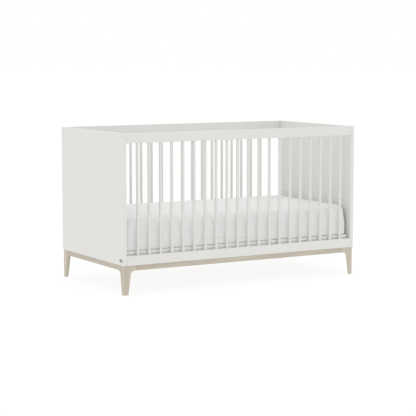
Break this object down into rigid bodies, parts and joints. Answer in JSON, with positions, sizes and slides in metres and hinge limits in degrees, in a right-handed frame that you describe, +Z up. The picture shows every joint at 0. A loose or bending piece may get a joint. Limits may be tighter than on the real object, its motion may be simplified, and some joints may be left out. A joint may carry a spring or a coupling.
{
  "type": "baby crib",
  "caption": "Rectangular baby crib: solid end panels, slatted sides, a mattress on an adjustable slatted base, and a wooden plinth on tapered legs.",
  "frame": {"origin": "on the floor, under the middle of the crib", "axes": "+Z up, +X along the length towards the right end panel, +Y from the front slatted side to the back one"},
  "size_m": [1.44, 0.738, 0.829],
  "materials": {
    "white_paint": "satin white paint over wood",
    "washed_wood": "matt pale greige wash over open grain",
    "base_wood": "bare sanded softwood",
    "steel": "light grey powder coat",
    "badge_metal": "dark satin metal",
    "sheet_cloth": "white fitted cotton sheet over the mattress"
  },
  "bodies": {
    "crib_frame": {"end_panel_left": "white_paint", "end_panel_right": "white_paint", "front_top_rail": "white_paint", "front_bottom_rail": "white_paint", "back_top_rail": "white_paint", "back_bottom_rail": "white_paint", "front_slat_01": "white_paint", "front_slat_02": "white_paint", "front_slat_03": "white_paint", "front_slat_04": "white_paint", "front_slat_05": "white_paint", "front_slat_06": "white_paint", "front_slat_07": "white_paint", "front_slat_08": "white_paint", "front_slat_09": "white_paint", "front_slat_10": "white_paint", "front_slat_11": "white_paint", "front_slat_12": "white_paint", "front_slat_13": "white_paint", "front_slat_14": "white_paint", "front_slat_15": "white_paint", "front_slat_16": "white_paint", "front_slat_17": "white_paint", "front_slat_18": "white_paint", "front_slat_19": "white_paint", "front_slat_20": "white_paint", "back_slat_01": "white_paint", "back_slat_02": "white_paint", "back_slat_03": "white_paint", "back_slat_04": "white_paint", "back_slat_05": "white_paint", "back_slat_06": "white_paint", "back_slat_07": "white_paint", "back_slat_08": "white_paint", "back_slat_09": "white_paint", "back_slat_10": "white_paint", "back_slat_11": "white_paint", "back_slat_12": "white_paint", "back_slat_13": "white_paint", "back_slat_14": "white_paint", "back_slat_15": "white_paint", "back_slat_16": "white_paint", "back_slat_17": "white_paint", "back_slat_18": "white_paint", "back_slat_19": "white_paint", "back_slat_20": "white_paint", "plinth_rail_front": "washed_wood", "plinth_rail_back": "washed_wood", "plinth_rail_left": "washed_wood", "plinth_rail_right": "washed_wood", "leg_front_left": "washed_wood", "leg_front_right": "washed_wood", "leg_back_left": "washed_wood", "leg_back_right": "washed_wood", "side_badge": "badge_metal"},
    "mattress_base": {"mattress_deck": "base_wood", "deck_beam": "base_wood", "deck_hanger_left": "steel", "deck_hanger_right": "steel"},
    "mattress": {"mattress": "sheet_cloth"}
  },
  "joints": [
    {"name": "base_height", "type": "slide", "parent": "crib_frame", "child": "mattress_base", "axis": [0, 0, 1], "range_m": [0, 0.16]},
    {"name": "mattress_lift", "type": "slide", "parent": "mattress_base", "child": "mattress", "axis": [0, 0, 1], "range_m": [0, 0.65]}
  ]
}
